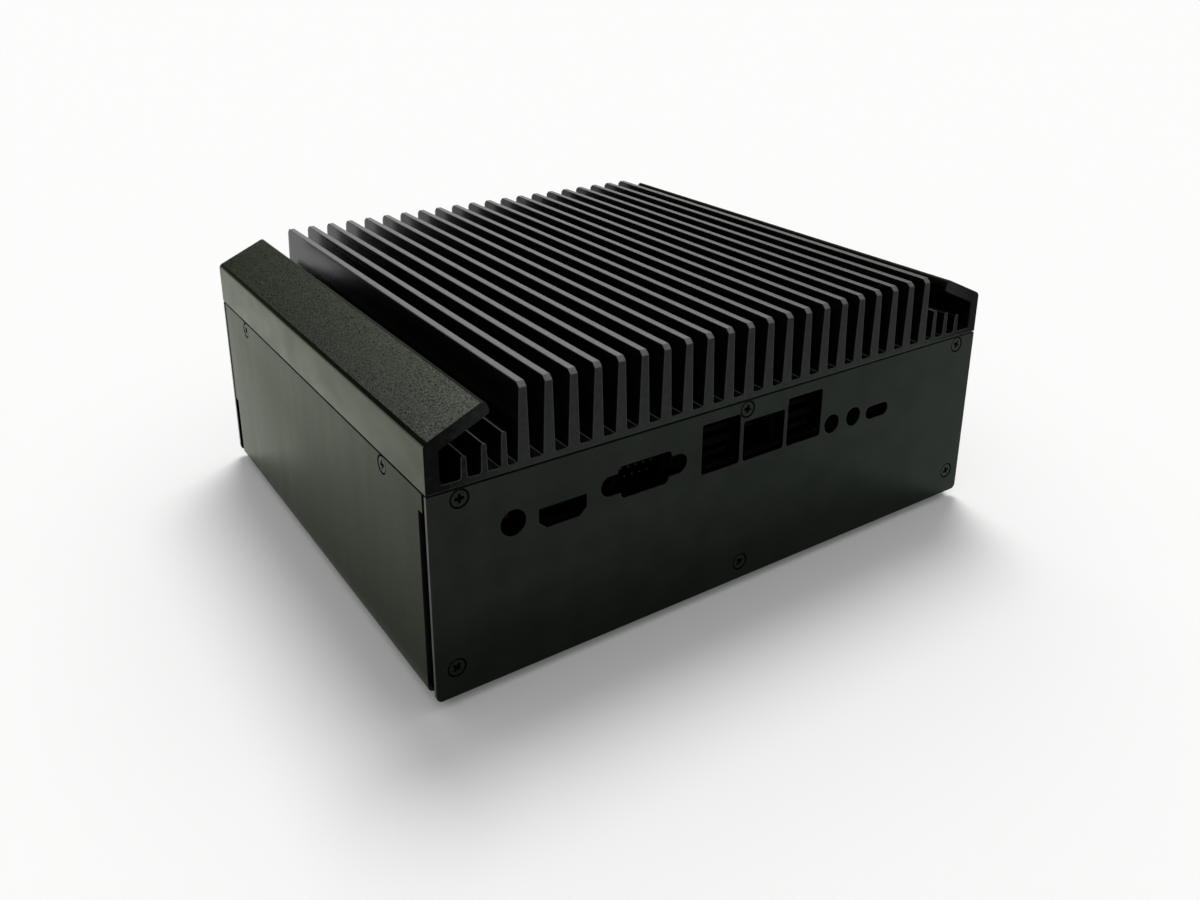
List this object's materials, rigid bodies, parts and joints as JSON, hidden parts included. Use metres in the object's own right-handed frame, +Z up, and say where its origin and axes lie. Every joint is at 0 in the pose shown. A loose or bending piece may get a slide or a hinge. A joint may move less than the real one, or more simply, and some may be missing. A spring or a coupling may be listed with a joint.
{
  "type": "fanless mini pc",
  "caption": "Black fanless mini PC: a winged, finned aluminium heatsink closes a folded tray, a port panel and a panel with a sprung power button.",
  "frame": {"origin": "centre of the bounding box, on the plane of the feet's soles", "axes": "+Z up, -Y out of the port panel, +X to the right as the port panel is seen from in front"},
  "size_m": [0.22, 0.188, 0.093],
  "materials": {
    "black_anodised_aluminium": "bead-blasted satin black anodised",
    "black_satin_sheet": "satin black anodised sheet, faintly brushed",
    "black_satin_panel": "satin black anodised plate",
    "blackened_steel": "black oxide",
    "bright_steel": "zinc plated",
    "bare_aluminium": "milled",
    "brass": "turned",
    "dark_port_shell": "dark matte",
    "black_plastic": "moulded matte",
    "clear_plastic": "clear, lightly frosted",
    "circuit_board": "dark solder mask",
    "chip_carrier": "green carrier",
    "rubber": "matte"
  },
  "bodies": {
    "chassis": {"heatsink_top": "black_anodised_aluminium", "base_tray": "black_satin_sheet", "io_panel": "black_satin_panel", "button_panel": "black_satin_panel", "io_panel_screw_1": "blackened_steel", "io_panel_screw_2": "blackened_steel", "io_panel_screw_3": "blackened_steel", "io_panel_screw_4": "blackened_steel", "io_panel_screw_5": "blackened_steel", "io_panel_screw_6": "blackened_steel", "button_panel_screw_1": "blackened_steel", "button_panel_screw_2": "blackened_steel", "button_panel_screw_3": "blackened_steel", "button_panel_screw_4": "blackened_steel", "button_panel_screw_5": "blackened_steel", "button_panel_screw_6": "blackened_steel", "side_screw_1": "blackened_steel", "side_screw_2": "blackened_steel", "side_screw_3": "blackened_steel", "side_screw_4": "blackened_steel", "power_button_body": "blackened_steel", "board_screw_1": "bright_steel", "board_screw_2": "bright_steel", "board_screw_3": "bright_steel", "board_screw_4": "bright_steel", "cooling_block_screw_1": "bright_steel", "cooling_block_screw_2": "bright_steel", "ssd_screw": "bright_steel", "coin_cell": "bright_steel", "power_button_nut": "bright_steel", "cooling_block": "bare_aluminium", "board_standoff_1": "brass", "board_standoff_2": "brass", "board_standoff_3": "brass", "board_standoff_4": "brass", "ssd_post": "brass", "dc_jack": "dark_port_shell", "hdmi_port": "dark_port_shell", "serial_port": "dark_port_shell", "usb_stack_left": "dark_port_shell", "lan_jack": "dark_port_shell", "usb_stack_right": "dark_port_shell", "audio_jack_left": "dark_port_shell", "audio_jack_right": "dark_port_shell", "usb_c_port": "dark_port_shell", "memory_socket": "black_plastic", "ssd_socket": "black_plastic", "coin_cell_holder": "black_plastic", "light_pipe_1": "clear_plastic", "light_pipe_2": "clear_plastic", "mainboard": "circuit_board", "memory_module": "circuit_board", "ssd_card": "circuit_board", "processor": "chip_carrier", "foot_1": "rubber", "foot_2": "rubber", "foot_3": "rubber", "foot_4": "rubber"},
    "power_button": {"power_button_cap": "bright_steel"}
  },
  "joints": [
    {"name": "power_button_press", "type": "slide", "parent": "chassis", "child": "power_button", "axis": [0, -1, 0], "range_m": [0, 0.0012], "stiffness_N_per_m": 1500, "springref_m": -0.0005}
  ]
}
